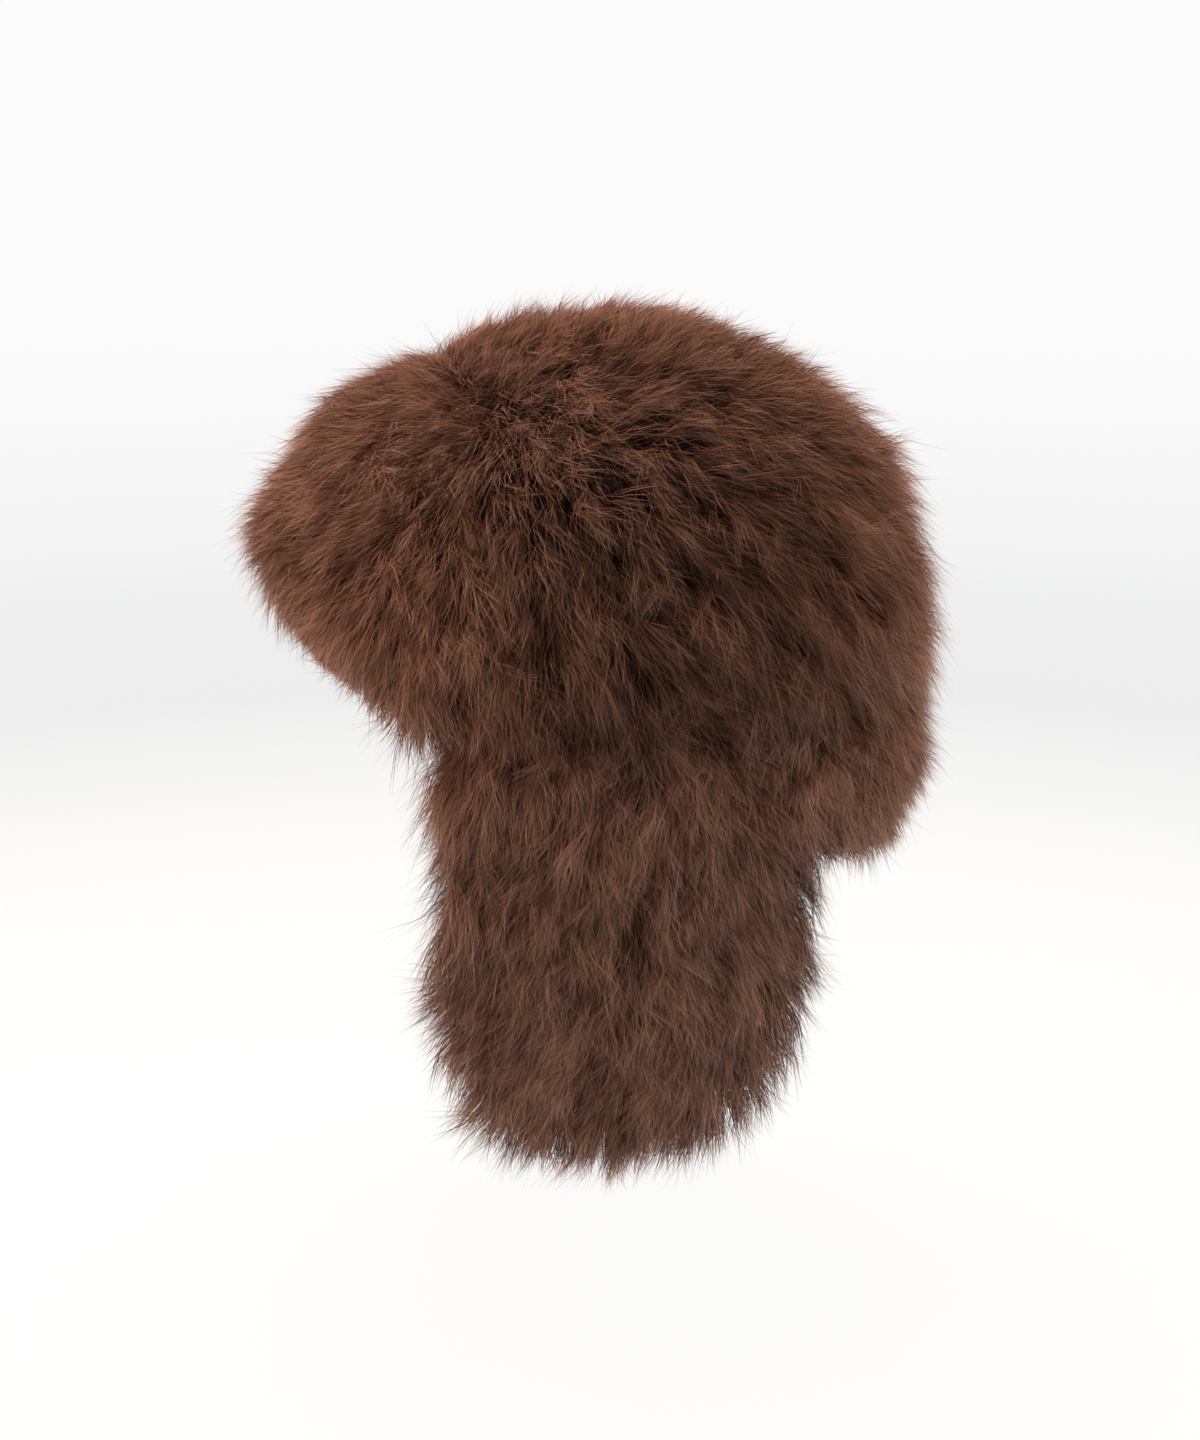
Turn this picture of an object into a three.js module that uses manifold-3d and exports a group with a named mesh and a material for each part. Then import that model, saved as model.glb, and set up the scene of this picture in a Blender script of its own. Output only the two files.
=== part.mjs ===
// A long-pile fur aviator hat as it is worn, with a turned-up front flap, hanging ear flaps and a neck flap.
// Millimetres, +Z up. The face looks along -Y and the wearer's left is +X.
// The origin is the centre of the head opening, level with the crown's rim at its sides and back.
// Turns are degrees round the head from the face, positive to the wearer's left.
// Climbs are degrees up the crown from its rim (0) to its top (90). Depths are millimetres below the rim.
import * as THREE from "three";
import { mergeVertices } from "three/addons/utils/BufferGeometryUtils.js";
import Module from "manifold-3d";

const wasm = await Module();
wasm.setup();

// Head size 57 cm: the oval that the rim goes round, and how high the head stands in the crown.
const HEAD = { halfWidth: 81, halfLength: 100, height: 120, squareness: 2.4 };
const BROW = { lift: 17, halfTurn: 60 }; // the arch of the rim over the face
const WALL = 3; // skin and its backing cloth
const SEAM_GAP = 0.4; // between neighbouring pieces
const FACETS = {
  crown: { turns: 32, climbs: 7 },
  frontFlap: { across: 14, down: 6 },
  earFlap: { across: 6, down: 8 },
  neckFlap: { across: 10, down: 3 },
};

const FRONT_FLAP = {
  halfTurn: 70,
  footClimb: 0.5,
  topClimb: 55, // at the middle of the flap
  cornerPower: 2.6, // how square the top corners are
  cornerShare: 0.2, // height of the flap's ends, as a share of its middle
  standOff: 1, // from the crown
  bulge: 11, // how far the turned-up flap stands away from the crown in its middle
  bulgeRise: 0.65, // under 1 puts the fullest part below half height
  piledMargin: 2.5, // degrees by which the pile runs past the flap's edges
  pileGap: 0.5, // degrees between the flap's pile and the crown's
  footPile: 0.6, // thickness of the pile's backing at the foot, as a share of its full thickness
  footRoom: 14, // degrees below the rim that the flap's lowest locks can hang
};
// Each hanging flap has straight sides down to its shoulder, then rounds in to its foot at the drop.
// lean: degrees by which its foot swings towards the face.
// hang: how far it stands out from the rim's oval, by depth.
const EAR_FLAP = {
  turn: 94.2,
  halfTurn: 31,
  drop: 150,
  lean: 5,
  shoulder: 0.58,
  footShare: 0.4,
  hang: [
    { depth: 0, out: 0 },
    { depth: 45, out: 5 },
    { depth: 95, out: 5 },
    { depth: 200, out: -9 },
  ],
};
const NECK_FLAP = {
  turn: 180,
  halfTurn: 54.4,
  drop: 52,
  lean: 0,
  shoulder: 0.3,
  footShare: 0.7,
  hang: [
    { depth: 0, out: 0 },
    { depth: 100, out: -3 },
  ],
};
const PILE_SPLIT = { turn: 125.4, halfGap: 0.15 }; // the cut between the ear flaps' pile and the neck flap's

// The pile: a dense backing on the wall, and locks that grow out of it.
const PILE = { backing: 16, root: 8 }; // heights above the wall
const LOCK = { length: 43, halfWidth: 17, halfThickness: 7.5, droop: 7, sides: 3, bends: 2 };
const UNEVEN = { sway: 0.22, length: 0.14, lift: 6 }; // sideways slope, share, degrees
const LOCK_SPACING = 29;
const HEM_FALL = 0.36; // slope of the cone along which the crown's pile hangs over the flaps' pile
const REACH = 90; // of the cutting solids beyond the wall, clear of all pile

// The pile is combed away from a parting point. Rows run round the head at a climb or a depth.
// half: how many degrees the row runs to each side of the piece's middle.
// lift: degrees between a lock and the wall.
// size: a lock's length in the row, as a share of the common length.
const CROWN_PILE = {
  parting: new THREE.Vector3(0, -65, 150),
  rows: [
    { at: 4, lift: 38 },
    { at: 18, lift: 34 },
    { at: 33, lift: 34 },
    { at: 48, lift: 36 },
    { at: 62, lift: 34 },
    { at: 76, lift: 30, size: 0.85 },
    { at: 88, lift: 24, size: 0.8 },
  ],
};
const FRONT_FLAP_PILE = {
  parting: new THREE.Vector3(0, -30, 125),
  rows: [
    { at: 6, half: 68, count: 8, lift: 14, size: 0.45 },
    { at: 21, half: 66, count: 7, lift: 32, size: 0.8 },
    { at: 35, half: 60, count: 6, lift: 46, size: 0.85 },
    { at: 50, half: 46, count: 5, lift: 62, size: 0.72 },
  ],
};
const EAR_FLAP_PILE = {
  parting: new THREE.Vector3(80, 0, 200),
  rows: [
    { at: 8, half: 33, count: 4, lift: 26 },
    { at: 36, half: 33, count: 4, lift: 32 },
    { at: 64, half: 34, count: 4, lift: 32 },
    { at: 92, half: 35, count: 4, lift: 32 },
    { at: 120, half: 30, count: 3, lift: 24 },
  ],
};
const NECK_FLAP_PILE = {
  parting: new THREE.Vector3(0, 70, 60),
  rows: [
    { at: 7, half: 50, count: 6, lift: 42 },
    { at: 32, half: 50, count: 6, lift: 30, size: 0.9 },
  ],
};

const { degToRad, radToDeg, lerp, smoothstep } = THREE.MathUtils;
const signedPower = (base, exponent) => Math.sign(base) * Math.abs(base) ** exponent;

// A repeatable value from -1 to 1 for each whole number, for the pile's unevenness.
function uneven(index, salt) {
  const wave = Math.sin(index * 12.9898 + salt * 78.233) * 43758.5453;
  return 2 * (wave - Math.floor(wave)) - 1;
}

// How high the crown's rim is at a turn.
function rimHeight(turn) {
  return BROW.lift * (1 - smoothstep(Math.abs(turn), 0, BROW.halfTurn));
}

// Where the crown's inner face is.
function crownForm(turn, climb) {
  const exponent = 2 / HEAD.squareness;
  const ring = signedPower(Math.cos(degToRad(climb)), exponent);
  return new THREE.Vector3(
    HEAD.halfWidth * Math.sin(degToRad(turn)) * ring,
    -HEAD.halfLength * Math.cos(degToRad(turn)) * ring,
    lerp(rimHeight(turn), HEAD.height, signedPower(Math.sin(degToRad(climb)), exponent)),
  );
}

// Where a hanging flap's inner face is.
function hangingForm({ hang }) {
  return (turn, depth) => {
    const next = Math.max(1, hang.findIndex((row) => row.depth > depth));
    const [upper, lower] = [hang[next - 1], hang[next]];
    const out = lerp(upper.out, lower.out, smoothstep(depth, upper.depth, lower.depth));
    return new THREE.Vector3(
      (HEAD.halfWidth + out) * Math.sin(degToRad(turn)),
      -(HEAD.halfLength + out) * Math.cos(degToRad(turn)),
      -depth,
    );
  };
}

// The direction that points away from the head, square to a form.
function outward(form, turn, at) {
  const step = 0.5;
  const highest = 89.5;
  const level = form === crownForm ? Math.min(at, highest) : at;
  const round = form(turn + step, level).sub(form(turn - step, level));
  const down = form(turn, level - step).sub(form(turn, level + step));
  const normal = round.cross(down).normalize();
  return normal.dot(form(turn, 0)) < 0 ? normal.negate() : normal;
}

function raised(form, turn, at, height) {
  return form(turn, at).addScaledVector(outward(form, turn, at), height);
}

// Moves every vertex of a geometry to place(x, y, z), and keeps its faces.
function reshaped(geometry, place) {
  const position = geometry.getAttribute("position");
  for (let i = 0; i < position.count; i++) {
    const p = place(position.getX(i), position.getY(i), position.getZ(i));
    position.setXYZ(i, p.x, p.y, p.z);
  }
  return geometry;
}

// A closed geometry as a solid with its faces pointing out. Faces that its reshaping closed up are left out.
function solidOf(geometry) {
  geometry.deleteAttribute("normal");
  geometry.deleteAttribute("uv");
  const merged = mergeVertices(geometry, 1e-3);
  const corners = merged.index.array;
  const faces = [];
  for (let i = 0; i < corners.length; i += 3) {
    const [a, b, c] = [corners[i], corners[i + 1], corners[i + 2]];
    if (a !== b && b !== c && c !== a) faces.push([a, b, c]);
  }
  const vertProperties = merged.getAttribute("position").array;
  const solid = (sides) => {
    const triVerts = Uint32Array.from(sides.flat());
    return new wasm.Manifold(new wasm.Mesh({ numProp: 3, vertProperties, triVerts }));
  };
  const made = solid(faces);
  return made.volume() > 0 ? made : solid(faces.map(([a, b, c]) => [a, c, b]));
}

function joined(solids) {
  return solids.reduce((whole, solid) => whole.add(solid));
}

// The main body of a solid, without the slivers that a cut can leave.
function mainBody(solid) {
  return solid.decompose().sort((a, b) => b.volume() - a.volume())[0];
}

function pieceOf(name, solid, material) {
  const cut = solid.getMesh();
  const geometry = new THREE.BufferGeometry();
  geometry.setAttribute("position", new THREE.BufferAttribute(cut.vertProperties, 3));
  geometry.setIndex(new THREE.BufferAttribute(cut.triVerts, 1));
  geometry.computeVertexNormals();
  const piece = new THREE.Mesh(geometry, material);
  piece.name = name;
  return piece;
}

// A shell over the whole crown, between two heights above its inner face. A lathed half ball gives the faces.
function domeLayer(inner, outer) {
  const { turns, climbs } = FACETS.crown;
  const ringAt = (radius, i) => {
    const climb = (Math.PI * i) / (2 * climbs);
    return new THREE.Vector2(radius * Math.cos(climb), radius * Math.sin(climb));
  };
  const profile = [];
  for (let i = 0; i <= climbs; i++) profile.push(ringAt(2, i));
  for (let i = climbs; i >= 0; i--) profile.push(ringAt(1, i));
  profile.push(ringAt(2, 0));
  return solidOf(
    reshaped(new THREE.LatheGeometry(profile, turns), (x, y, z) => {
      const climb = radToDeg(Math.atan2(y, Math.hypot(x, z)));
      const turn = radToDeg(Math.atan2(x, z));
      return raised(crownForm, turn, climb, lerp(inner, outer, Math.hypot(x, y, z) - 1));
    }),
  );
}

// A block bent to shape. place(u, v, w): u from -1 to 1 across, v from 0 to 1 along, w from 0 to 1 through.
// Two faces at w = 1 have the same facets, so a wall ends there and the pile on it does too.
function bentBlock({ across, down }, place) {
  return solidOf(
    reshaped(new THREE.BoxGeometry(2, 1, 1, across, down, 1), (x, y, z) => place(x, y + 0.5, z + 0.5)),
  );
}

// A wedge of space round the head between two turns, for cutting the hanging flaps' pile.
function sector(from, to) {
  const across = Math.ceil(Math.abs(to - from) / 15);
  return bentBlock({ across, down: 1 }, (u, v, w) => {
    const turn = degToRad(lerp(from, to, (u + 1) / 2));
    const radius = lerp(0.3, 2.5, w);
    return new THREE.Vector3(
      HEAD.halfWidth * radius * Math.sin(turn),
      -HEAD.halfLength * radius * Math.cos(turn),
      lerp(-3 * REACH, REACH, v),
    );
  });
}

// The space below the cone that falls from the rim outwards, lowered by a drop.
function belowHem(drop) {
  const inside = -40;
  const profile = [
    [inside, -drop],
    [WALL, -drop],
    [WALL + REACH, -REACH * HEM_FALL - drop],
    [WALL + REACH, -3 * REACH],
    [inside, -3 * REACH],
    [inside, -drop],
  ].map(([out, height]) => new THREE.Vector2(HEAD.halfLength + out, height));
  return solidOf(
    reshaped(new THREE.LatheGeometry(profile, FACETS.crown.turns), (x, y, z) => {
      const turn = Math.atan2(x, z);
      const out = Math.hypot(x, z) - HEAD.halfLength;
      return new THREE.Vector3(
        (HEAD.halfWidth + out) * Math.sin(turn),
        -(HEAD.halfLength + out) * Math.cos(turn),
        y,
      );
    }),
  );
}

function frontFlapTop(u) {
  const { topClimb, cornerPower, cornerShare } = FRONT_FLAP;
  return topClimb * Math.max(cornerShare, (1 - Math.abs(u) ** cornerPower) ** (1 / cornerPower));
}

// A share that grows from footShare at the front flap's foot to 1 at half its height.
function filledOut(footShare, v) {
  return lerp(footShare, 1, smoothstep(v, 0, 0.5));
}

// How far the front flap stands away from the crown, by u across it and v up it.
function frontFlapBulge(u, v) {
  return FRONT_FLAP.bulge * Math.sin(Math.PI * v ** FRONT_FLAP.bulgeRise) * (1 - u * u);
}

// A layer over the front flap, from one height above the crown's inner face to another.
// edge and foot: degrees by which its outermost corners run past the flap's edges and its foot.
// footShare: the layer's thickness at the foot, as a share of its full thickness.
function frontFlapLayer(from, to, { edge = 0, foot = 0, footShare = 1 } = {}) {
  return bentBlock(FACETS.frontFlap, (x, v, w) => {
    const u = lerp(x, Math.sin((x * Math.PI) / 2), 0.6); // closer columns where the top edge falls away
    const turn = FRONT_FLAP.halfTurn * u + (Math.abs(x) === 1 ? edge * x : 0);
    const beyond = v === 1 ? edge : v === 0 ? -foot : 0;
    const climb = lerp(FRONT_FLAP.footClimb, frontFlapTop(u), v) + beyond;
    const thickness = (from - to) * filledOut(footShare, v);
    return raised(crownForm, turn, climb, to + thickness * (1 - w) + frontFlapBulge(u, v));
  });
}

// The space of the front flap and its pile, through the crown's wall and out past the pile.
function frontFlapRoom(edge) {
  return frontFlapLayer(REACH, -FRONT_FLAP.bulge, { edge, foot: FRONT_FLAP.footRoom });
}

// How wide a hanging flap is at v down it, as a share of its half turn.
function flapShare({ shoulder, footShare }, v) {
  const rounding = Math.max(0, (v - shoulder) / (1 - shoulder));
  return lerp(footShare, 1, Math.sqrt(1 - rounding * rounding));
}

// The turn of a hanging flap's middle at v down it. side: 1 left, -1 right.
function flapMiddle({ turn, lean }, side, v) {
  return side * (turn - lean * v ** 1.6);
}

// A layer over a hanging flap, from one height above its inner face to another.
function hangingLayer(flap, facets, side, from, to) {
  return bentBlock(facets, (u, v, w) => {
    const turn = flapMiddle(flap, side, v) + u * flap.halfTurn * flapShare(flap, v);
    return raised(hangingForm(flap), turn, lerp(SEAM_GAP, flap.drop, v), lerp(from, to, w));
  });
}

// One lock: a flattened cone that rises from its root along its comb and droops towards its tip.
function lock(root, normal, comb, lift, size, index) {
  const length = LOCK.length * size * (1 + UNEVEN.length * uneven(index, 1));
  const side = new THREE.Vector3().crossVectors(normal, comb).normalize();
  const flat = new THREE.Vector3().crossVectors(side, normal);
  flat.addScaledVector(side, UNEVEN.sway * uneven(index, 2)).normalize();
  side.crossVectors(normal, flat);
  const rise = degToRad(lift + UNEVEN.lift * uneven(index, 3));
  const way = flat.multiplyScalar(Math.cos(rise)).addScaledVector(normal, Math.sin(rise));
  const through = new THREE.Vector3().crossVectors(way, side);
  const belly = 1.5; // fullness of the middle, against a straight cone
  return solidOf(
    reshaped(new THREE.ConeGeometry(1, 1, LOCK.sides, LOCK.bends), (x, y, z) => {
      const along = y + 0.5;
      const full = along > 0.1 && along < 0.9 ? belly : 1;
      return root
        .clone()
        .addScaledVector(way, length * along)
        .addScaledVector(normal, -LOCK.droop * along * along)
        .addScaledVector(side, x * LOCK.halfWidth * full)
        .addScaledVector(through, z * LOCK.halfThickness * full);
    }),
  );
}

// Locks along rows. middle(at) is a row's middle turn. height(turn, at) is a root's height above the form.
// Rows that run all round the head are shifted by half a step from one to the next.
function locksAlong(form, parting, rows, middle, height) {
  return rows.flatMap(({ at, half, count, lift, size = 1 }, row) =>
    Array.from({ length: count }, (_, i) => {
      const shift = half === 180 ? 0.5 * (row % 2) : 0.5;
      const turn = middle(at) + half * (2 * ((i + shift) / count) - 1);
      const root = raised(form, turn, at, height(turn, at));
      return lock(root, outward(form, turn, at), root.clone().sub(parting), lift, size, row * 101 + i);
    }),
  );
}

function crown(material) {
  return pieceOf("crown", domeLayer(0, WALL), material);
}

function crownFur(material) {
  const base = WALL + SEAM_GAP;
  const rows = CROWN_PILE.rows.map((row) => {
    const ring = Math.cos(degToRad(row.at)) ** (2 / HEAD.squareness);
    const round = Math.PI * (ring * (HEAD.halfWidth + HEAD.halfLength) + 2 * PILE.backing);
    return { ...row, half: 180, count: Math.round(round / LOCK_SPACING) };
  });
  const locks = locksAlong(crownForm, CROWN_PILE.parting, rows, () => 0, () => base + PILE.root);
  const pile = joined([domeLayer(base, base + PILE.backing), ...locks])
    .subtract(frontFlapRoom(FRONT_FLAP.piledMargin + FRONT_FLAP.pileGap))
    .subtract(belowHem(-SEAM_GAP / 2));
  return pieceOf("crown_fur", mainBody(pile), material);
}

function frontFlap(material) {
  const inner = WALL + FRONT_FLAP.standOff;
  return pieceOf("front_flap", frontFlapLayer(inner, inner + WALL), material);
}

function frontFlapFur(material) {
  const base = WALL + FRONT_FLAP.standOff + WALL + 2 * SEAM_GAP;
  const edge = FRONT_FLAP.piledMargin;
  const height = (turn, at) => {
    const u = turn / FRONT_FLAP.halfTurn;
    const v = Math.min(1, at / frontFlapTop(u));
    return base + PILE.root * filledOut(FRONT_FLAP.footPile, v) + frontFlapBulge(u, v);
  };
  const locks = locksAlong(crownForm, FRONT_FLAP_PILE.parting, FRONT_FLAP_PILE.rows, () => 0, height);
  const backing = frontFlapLayer(base + PILE.backing, base, { edge, footShare: FRONT_FLAP.footPile });
  const pile = joined([backing, ...locks])
    .intersect(frontFlapRoom(edge))
    .subtract(belowHem(-SEAM_GAP / 2));
  return pieceOf("front_flap_fur", mainBody(pile), material);
}

// A hanging flap's pile, kept inside its room round the head and below the crown's pile.
function hangingPile(flap, facets, side, parting, rows, room) {
  const base = WALL + SEAM_GAP;
  const backing = hangingLayer(flap, facets, side, base + PILE.backing, base);
  const middle = (depth) => flapMiddle(flap, side, depth / flap.drop);
  const locks = locksAlong(hangingForm(flap), parting, rows, middle, () => base + PILE.root);
  return mainBody(joined([backing, ...locks]).intersect(room).intersect(belowHem(SEAM_GAP / 2)));
}

function earFlap(name, side, material) {
  return pieceOf(name, hangingLayer(EAR_FLAP, FACETS.earFlap, side, 0, WALL), material);
}

function earFlapFur(name, side, material) {
  const parting = EAR_FLAP_PILE.parting.clone();
  parting.x *= side;
  const room = sector(side * 40, side * (PILE_SPLIT.turn - PILE_SPLIT.halfGap));
  const pile = hangingPile(EAR_FLAP, FACETS.earFlap, side, parting, EAR_FLAP_PILE.rows, room);
  return pieceOf(name, pile, material);
}

function neckFlap(material) {
  return pieceOf("neck_flap", hangingLayer(NECK_FLAP, FACETS.neckFlap, 1, 0, WALL), material);
}

function neckFlapFur(material) {
  const { parting, rows } = NECK_FLAP_PILE;
  const edge = PILE_SPLIT.turn + PILE_SPLIT.halfGap;
  const room = sector(edge, 360 - edge);
  const pile = hangingPile(NECK_FLAP, FACETS.neckFlap, 1, parting, rows, room);
  return pieceOf("neck_flap_fur", pile, material);
}

const skin = new THREE.MeshStandardMaterial({ name: "skin", color: 0x4a3428, roughness: 0.9, metalness: 0 });
const fur = new THREE.MeshStandardMaterial({ name: "fur", color: 0x5a3b2c, roughness: 0.85, metalness: 0 });

const hat = new THREE.Group();
hat.add(
  crown(skin),
  crownFur(fur),
  frontFlap(skin),
  frontFlapFur(fur),
  earFlap("ear_flap_left", 1, skin),
  earFlapFur("ear_flap_left_fur", 1, fur),
  earFlap("ear_flap_right", -1, skin),
  earFlapFur("ear_flap_right_fur", -1, fur),
  neckFlap(skin),
  neckFlapFur(fur),
);

export default hat;
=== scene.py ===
"""The looks of a long-pile fur aviator hat: combed, clumped strands over dark underfur, on suede walls.
Parts of the pile's colour are painted light and shade.

Lengths are millimetres until a mesh is made, in metres. Turns are degrees round the head from the face,
positive to the wearer's left. Climbs are degrees up the crown. Depths are millimetres below the rim.
On each surface u runs from -1 to 1 across the piece, and v from 0 beside the rim to 1 at its far end.
A pair named over, or ending in _over, is (start, span): where a change begins and how far on it is complete.
"""

import math

import bmesh
import bpy
import numpy as np
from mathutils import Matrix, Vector


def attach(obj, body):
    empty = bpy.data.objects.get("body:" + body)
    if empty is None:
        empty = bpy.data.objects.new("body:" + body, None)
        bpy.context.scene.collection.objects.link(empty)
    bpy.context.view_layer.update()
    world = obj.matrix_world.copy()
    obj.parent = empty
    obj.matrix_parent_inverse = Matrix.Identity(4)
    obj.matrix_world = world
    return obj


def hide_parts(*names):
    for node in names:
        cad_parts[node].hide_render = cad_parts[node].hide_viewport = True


METRES = 0.001
SEED = 57
HALF_ROUND = 180.0
TOP_CLIMB = 90.0
TINY = 1e-9
NORMAL_STEP = 0.5  # degrees between the places that a normal of the crown is measured from
FRAME_STEP = 1e-3  # the same in u and v
OUTWARD = np.array([1, 1, 0.4])  # weights of a place that make it point outwards from the hat's middle

# The walls, as the frame has them.
HEAD_HALF_WIDTH = 81.0
HEAD_HALF_LENGTH = 100.0
HEAD_HEIGHT = 120.0
SQUARENESS = 2.4
BROW_LIFT = 17.0
BROW_HALF_TURN = 60.0
WALL = 3.0
SEAM_GAP = 0.4
FRONT_STAND_OFF = 1.0
CROWN_BASE = WALL + SEAM_GAP
FRONT_BASE = 2 * WALL + FRONT_STAND_OFF + 2 * SEAM_GAP
FRONT_HALF_TURN = 70.0
FRONT_FOOT_CLIMB = 0.5
FRONT_TOP_CLIMB = 55.0
FRONT_CORNER_POWER = 2.6
FRONT_CORNER_SHARE = 0.2
FRONT_BULGE = 11.0
FRONT_BULGE_RISE = 0.65
FRONT_MARGIN = 1.0
EAR_FLAP = {
    "turn": 94.2,
    "half_turn": 31.0,
    "drop": 150.0,
    "lean": 5.0,
    "shoulder": 0.58,
    "foot_share": 0.4,
    "hang": ((0.0, 0.0), (45.0, 5.0), (95.0, 5.0), (200.0, -9.0)),
}
NECK_FLAP = {
    "turn": 180.0,
    "half_turn": 54.4,
    "drop": 52.0,
    "lean": 0.0,
    "shoulder": 0.3,
    "foot_share": 0.7,
    "hang": ((0.0, 0.0), (100.0, -3.0)),
}
LEAN_POWER = 1.6

# How finely the walls and the underfur are divided. A dome's grid stops just short of its pole.
WALL_GRID = {"across": 30, "along": 36}
CROWN_WALL_GRID = {"across": 96, "along": 30}
FRONT_WALL_GRID = {"across": 44, "along": 36}
UNDERFUR_GRID = {"across": 36, "along": 20}
CROWN_UNDERFUR_GRID = {"across": 96, "along": 36}
POLE_GAP = 0.004
SHARP_TURN = 60.0
ROUND_SEGMENTS = 3

# The line on the pile's outside that the hair is combed away from, left corner to right corner.
PARTING = np.array(
    [
        [60, -40, 115],
        [44, -54, 128],
        [24, -63, 135],
        [0, -67, 137],
        [-24, -63, 135],
        [-44, -54, 128],
        [-60, -40, 115],
    ],
    float,
)
PILE_OUTSIDE = 25.0  # how far the pile's outside is above its base
PARTING_REACH = 22.0  # how far from the parting its own density and tone reach

# Within about this distance of the parting, hair is combed to either side of it.
PARTING_BLEND = 5.0

# By how many degrees the hair swirls on the parting, upwards to the back at both sides.
SWIRL = 32.0
SWIRL_REACH = 30.0

# No tip hangs lower than the sum of these two depths, and few lower than the first.
FOOT_TIPS = 171.0
FOOT_GIVE = 10.0

# Hair leaves the wall at its lift, in degrees. Its tips stand at its height above its base.
LIFT = 42.0
FLATTER_AT_PARTING = 12.0
FLATTER_OVER = (0, 32)  # distance from the parting
CROWN_HAIR = {
    "gravity": 1.0,
    "falls_over": (15, 75),  # distance from the parting
    "top_lift": 8.0,
    "height": 24.0,
    "shorter_at_parting": 3.5,
    "parting_over": (8, 40),
    "shorter_at_top": 6.0,
    "top_over": (0.42, 0.3),
    "shorter_over_ears": 7.0,
    "ears_over": (0, 0.13),
    "longer_at_back": 2.0,
    "back_over": (0, 0.15),
}
FRONT_HAIR = {
    "gravity": 0.5,
    "falls_over": (0, 60),
    "height": 17.0,
    "foot_height": 4.0,
    "longer_at_foot_ends": 7.0,
    "foot_ends_over": (0.45, 0.3),
    "foot_over": (0, 0.35),
    "flatter_at_corners": 12.0,
    "corners_over": (0.5, 0.3),
    "peak_at": (0.34, 0.15),
    "peak_lift": 14.0,
    "peak_height": 1.5,
    "hollow_at": (0.57, 0.13),
    "hollow_depth": 4.0,
    "shorter_at_top": 3.0,
    "top_over": (0.7, 0.2),
    "edge_tilt": 0.5,
    "edge_over": (0.8, 0.2),
    "top_edge_over": (0.85, 0.15),
}
HANGING_HAIR = {
    "forward_over": (0.5, 0.4),
    "edge_tilt": 0.4,
    "edge_over": (0.55, 0.45),
    "rim_tilt": 0.5,
    "rim_over": (0, 0.2),
    "foot_tilt": 0.55,
    "foot_over": (0.8, 0.2),
}
EAR_HAIR = {
    "spread": 0.3,
    "forward": 0.35,
    "lift": 38.0,
    "height": 18.0,
    "shorter_at_rim": 4.0,
    "rim_over": (0, 0.12),
    "shorter_at_foot": 3.0,
    "foot_over": (0.85, 0.15),
    "front_edge_over": (0.55, 0.4),
    "fuller_at_rim": 11.0,
    "fuller_over": (0, 0.2),
    "fuller_below": 5.0,
    "fuller_at": (0.42, 0.1),
}
NECK_HAIR = {
    "spread": 0.25,
    "lift": 56.0,
    "height": 23.0,
    "shorter_at_foot": 7.0,
    "foot_over": (0.5, 0.5),
}

# How many clumps of strands grow on each piece, how far above its base they root, and how much their
# direction and their tone vary, as shares of the common amounts below.
CROWN_COMB = {"clumps": 9000, "root": 7.0, "uneven": 0.85, "mottle": 1.0}
FRONT_COMB = {"clumps": 5200, "root": 1.5, "uneven": 1.0, "mottle": 1.4}
EAR_COMB = {"clumps": 4200, "root": 4.0, "uneven": 0.5, "mottle": 2.0}
NECK_COMB = {"clumps": 2500, "root": 5.0, "uneven": 0.7, "mottle": 1.4}
DENSER_AT_PARTING = 1.4

# Strands stand in clumps, and clumps lean together in tufts.
PER_CLUMP = 12
CLUMPS_PER_TUFT = 5
CLUMP_RADIUS = 1.3
CLUMP_RADIUS_SPREAD = 0.3
CLUMP_PULL = (0.45, 0.95)
CLUMP_PULL_POWER = 0.8
TUFT_PULL = (0.15, 0.65)

# Wavelengths of the smooth parts of the hair's variation.
YAW_WAVE = 34
YAW_RIPPLE = 17
LIFT_WAVE = 26
LENGTH_WAVE = 30

# The common amounts: degrees of yaw and lift, sideways curl, shares of the length, and tone.
YAW_VARIES = {"wave": 14, "ripple": 12, "tuft": 8, "clump": 8}
LIFT_VARIES = {"wave": 5, "tuft": 5, "clump": 4}
CURL_VARIES = {"tuft": 2.6, "clump": 1.3, "strand": 1.3}
LENGTH_VARIES = {"wave": 0.05, "tuft": 0.07, "clump": 0.08, "strand": 0.23}
TONE_VARIES = {"wave": 0.06, "tuft": 0.05, "clump": 0.11, "strand": 0.1}

# Limits: degrees of lift, shares of the length, least height above the root, and most lie along the surface.
LIFT_LIMITS = (12, 86)
REACH_LIMITS = (0.5, 1.42)
LEAST_RISE = 3.0
MOST_SWEEP = 28.0

# How far tips stray, and what share of the strands strays that far.
STRAY_SIZES = (0.8, 1.8, 4.0)
STRAY_SHARES = (0.52, 0.36, 0.12)

# The smooth random fields: shares of their wavelength, how many waves, and about how high they peak.
FIELD_LENGTHS = (0.7, 1.6)
FIELD_WAVES = 14
FIELD_PEAK = 1.5
SCATTER_CELLS = 90

# The form of a strand, from root to tip.
STRAND_STEPS = np.array([0.0, 0.55, 1.0])
STRAND_WIDTHS = np.array([1.0, 0.7])
STRAND_WIDTH = 0.35
STRAND_TWIST = 70.0
RISE_POWER = 1.5
RISE_PAST_END = 0.5
SLIDE_POWER = 1.3
DROOP_LENGTH = 220.0  # the longer, the less a strand bends back round the head
STRAY_POWER = 1.4

# Fuzz: the finest hairs, which stand out past the rest.
FUZZ_SHARE = 0.32
FUZZ_WIDTH = 0.22
FUZZ_REACH = 1.38
FUZZ_REACH_LIMITS = (0.5, 1.55)
FUZZ_RISE = 1.1
FUZZ_SLIDE = 0.5
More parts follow.
